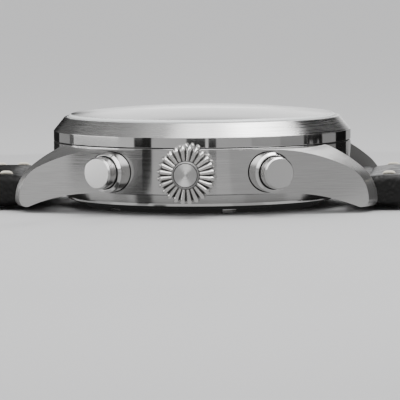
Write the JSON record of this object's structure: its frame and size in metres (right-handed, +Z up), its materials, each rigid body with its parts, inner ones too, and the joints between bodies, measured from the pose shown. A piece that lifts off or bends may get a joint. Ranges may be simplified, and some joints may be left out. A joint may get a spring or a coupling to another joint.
{
  "type": "pilot chronograph wristwatch",
  "caption": "Round steel pilot's chronograph wristwatch lying on its back, with petalled crown, two pushers, canted lugs, domed crystal and padded black leather strap with buckle.",
  "frame": {"origin": "centre of the flat face of the case back, which the watch rests on", "axes": "+Z up through the dial, +X towards twelve o'clock and along the strap, -Y out along the crown"},
  "size_m": [0.2479, 0.0476, 0.0145],
  "materials": {
    "case_steel": "satin-brushed flank and chamfer with polished lug tops and bezel band",
    "polished_steel": "mirror-polished steel",
    "satin_steel": "fine satin steel",
    "spring_steel": "plain turned steel",
    "movement_steel": "rhodium-plated, straight-grained",
    "movement_brass": "gilt brass",
    "crystal_glass": "clear domed sapphire",
    "seal_rubber": "black seal",
    "dial_black": "matt black dial paint",
    "hand_white": "white lacquered hands",
    "strap_leather": "black calf leather with cream stitching"
  },
  "bodies": {
    "case": {"mid_case": "case_steel", "bezel": "case_steel", "crystal": "crystal_glass", "crystal_gasket": "seal_rubber", "case_back": "satin_steel", "case_back_gasket": "seal_rubber", "crown_tube": "spring_steel", "start_pusher_collar": "polished_steel", "reset_pusher_collar": "polished_steel", "slope_ring": "dial_black", "dial": "dial_black", "movement_ring": "spring_steel", "mainplate": "movement_steel", "barrel_bridge": "movement_steel", "train_bridge": "movement_steel", "balance_cock": "movement_steel", "rotor_bearing": "spring_steel", "spring_bar_12": "spring_steel", "spring_bar_6": "spring_steel"},
    "setting_lever": {"setting_lever": "spring_steel"},
    "crown": {"crown": "polished_steel", "winding_stem": "spring_steel"},
    "start_pusher": {"start_pusher": "satin_steel"},
    "reset_pusher": {"reset_pusher": "satin_steel"},
    "minute": {"minute_hand": "hand_white", "cannon_pinion": "spring_steel"},
    "hour": {"hour_hand": "hand_white", "hour_wheel": "movement_brass"},
    "chrono_seconds": {"chrono_seconds_hand": "hand_white"},
    "minute_counter": {"minute_counter_hand": "hand_white"},
    "hour_counter": {"hour_counter_hand": "hand_white"},
    "running_seconds": {"running_seconds_hand": "hand_white", "fourth_wheel": "movement_brass"},
    "escape_wheel": {"escape_wheel": "movement_brass"},
    "pallet_fork": {"pallet_fork": "spring_steel"},
    "balance": {"balance_wheel": "movement_brass"},
    "barrel": {"barrel": "movement_brass"},
    "rotor": {"rotor": "movement_steel"},
    "strap_12": {"strap_buckle_half": "strap_leather", "fixed_keeper": "strap_leather"},
    "strap_6": {"strap_hole_half": "strap_leather"},
    "free_keeper": {"free_keeper": "strap_leather"},
    "buckle": {"buckle_frame": "polished_steel", "buckle_bar": "spring_steel"},
    "tongue": {"buckle_tongue": "polished_steel"}
  },
  "joints": [
    {"name": "crown_pull", "type": "slide", "parent": "case", "child": "setting_lever", "axis": [0, -1, 0], "range_m": [0, 0.001]},
    {"name": "crown_turn", "type": "hinge", "parent": "setting_lever", "child": "crown", "pos_m": [0, 0, 0.0061], "axis": [0, -1, 0], "continuous": true},
    {"name": "start_press", "type": "slide", "parent": "case", "child": "start_pusher", "axis": [-0.5, 0.866, 0], "range_m": [0, 0.001], "stiffness_N_per_m": 500, "springref_m": -0.001},
    {"name": "reset_press", "type": "slide", "parent": "case", "child": "reset_pusher", "axis": [0.5, 0.866, 0], "range_m": [0, 0.001], "stiffness_N_per_m": 500, "springref_m": -0.001},
    {"name": "minute_turn", "type": "hinge", "parent": "case", "child": "minute", "pos_m": [0, 0, 0.0103], "axis": [0, 0, -1], "continuous": true},
    {"name": "hour_turn", "type": "hinge", "parent": "case", "child": "hour", "pos_m": [0, 0, 0.01], "axis": [0, 0, -1], "continuous": true},
    {"name": "chrono_turn", "type": "hinge", "parent": "case", "child": "chrono_seconds", "pos_m": [0, 0, 0.0106], "axis": [0, 0, -1], "continuous": true},
    {"name": "minute_counter_turn", "type": "hinge", "parent": "case", "child": "minute_counter", "pos_m": [0.0072, 0, 0.0097], "axis": [0, 0, -1], "continuous": true},
    {"name": "hour_counter_turn", "type": "hinge", "parent": "case", "child": "hour_counter", "pos_m": [-0.0072, 0, 0.0097], "axis": [0, 0, -1], "continuous": true},
    {"name": "running_seconds_turn", "type": "hinge", "parent": "case", "child": "running_seconds", "pos_m": [0, 0.0072, 0.0097], "axis": [0, 0, -1], "continuous": true},
    {"name": "escape_turn", "type": "hinge", "parent": "case", "child": "escape_wheel", "pos_m": [-0.00193, 0.00273, 0.0054], "axis": [0, 0, -1], "continuous": true},
    {"name": "pallet_swing", "type": "hinge", "parent": "case", "child": "pallet_fork", "pos_m": [-0.00402, 0.00419, 0.0054], "axis": [0, 0, -1], "range_deg": [-5, 5]},
    {"name": "balance_swing", "type": "hinge", "parent": "case", "child": "balance", "pos_m": [-0.0066, 0.006, 0.0045], "axis": [0, 0, -1], "range_deg": [-270, 270], "stiffness_Nm_per_rad": 0.0000007},
    {"name": "barrel_turn", "type": "hinge", "parent": "case", "child": "barrel", "pos_m": [0.0066, -0.006, 0.005], "axis": [0, 0, -1], "continuous": true},
    {"name": "rotor_turn", "type": "hinge", "parent": "case", "child": "rotor", "pos_m": [0, 0, 0.002], "axis": [0, 0, -1], "continuous": true},
    {"name": "strap_hinge_12", "type": "hinge", "parent": "case", "child": "strap_12", "pos_m": [0.0235, 0, 0.0029], "axis": [0, 1, 0], "range_deg": [-30, 75]},
    {"name": "strap_hinge_6", "type": "hinge", "parent": "case", "child": "strap_6", "pos_m": [-0.0235, 0, 0.0029], "axis": [0, -1, 0], "range_deg": [-30, 75]},
    {"name": "keeper_slide", "type": "slide", "parent": "strap_12", "child": "free_keeper", "axis": [1, 0, 0], "range_m": [-0.0135, 0]},
    {"name": "buckle_hinge", "type": "hinge", "parent": "strap_12", "child": "buckle", "pos_m": [0.0955, 0, 0.00245], "axis": [0, 1, 0], "range_deg": [-60, 60]},
    {"name": "tongue_hinge", "type": "hinge", "parent": "buckle", "child": "tongue", "pos_m": [0.0955, 0, 0.00245], "axis": [0, -1, 0], "range_deg": [0, 100]}
  ],
  "couplings": [
    {"joint": "hour_turn", "follows": "minute_turn", "ratio": 0.083333},
    {"joint": "minute_counter_turn", "follows": "chrono_turn", "ratio": 0.033333},
    {"joint": "hour_counter_turn", "follows": "chrono_turn", "ratio": 0.0013889},
    {"joint": "escape_turn", "follows": "running_seconds_turn", "ratio": -12}
  ]
}
